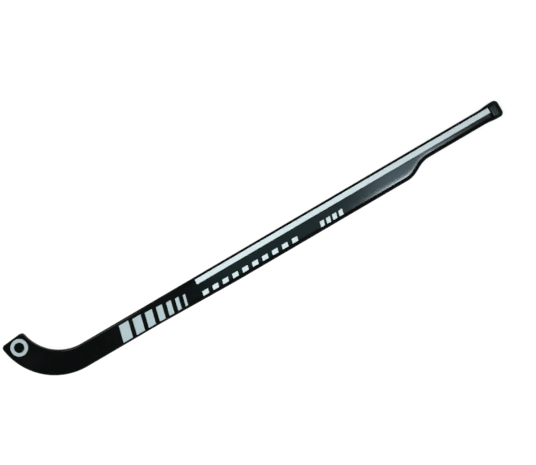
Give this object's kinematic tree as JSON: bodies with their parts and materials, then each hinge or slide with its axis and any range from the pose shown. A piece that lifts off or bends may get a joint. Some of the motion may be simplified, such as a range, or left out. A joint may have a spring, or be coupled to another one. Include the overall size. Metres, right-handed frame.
{
  "type": "goalkeeper stick",
  "caption": "Long flat goalkeeper's stick for rink hockey, with a bent hook, a stepped grip, a flared butt with a cap and a pale stripe.",
  "frame": {"origin": "on the back face, which the stick lies on, at the centre line of the shaft where the shaft runs into the bend", "axes": "+X along the shaft towards the butt, +Y across the shaft to the side that the toe points to, +Z out of the front face, which carries the stripe"},
  "size_m": [1.0401, 0.1212, 0.0203],
  "materials": {
    "edge_lacquer": "ash under black gloss lacquer",
    "skin_lacquer": "fibre skin under black gloss lacquer",
    "poplar": "bare poplar, glued",
    "ash": "bare ash, glued",
    "cap_rubber": "moulded, satin",
    "silver_print": "silver-white printed film under clear lacquer"
  },
  "bodies": {
    "root": {"upper_edge_strip": "edge_lacquer", "core_lamination_01": "poplar", "core_lamination_02": "poplar", "core_lamination_03": "ash", "core_lamination_04": "poplar", "core_lamination_05": "poplar", "core_lamination_06": "ash", "core_lamination_07": "poplar", "core_lamination_08": "poplar", "core_lamination_09": "ash", "core_lamination_10": "poplar", "core_lamination_11": "poplar", "core_lamination_12": "ash", "core_lamination_13": "poplar", "core_lamination_14": "poplar", "lower_edge_strip": "edge_lacquer", "back_face_skin": "skin_lacquer", "front_face_skin": "skin_lacquer", "butt_cap": "cap_rubber", "front_stripe": "silver_print"}
  },
  "joints": []
}
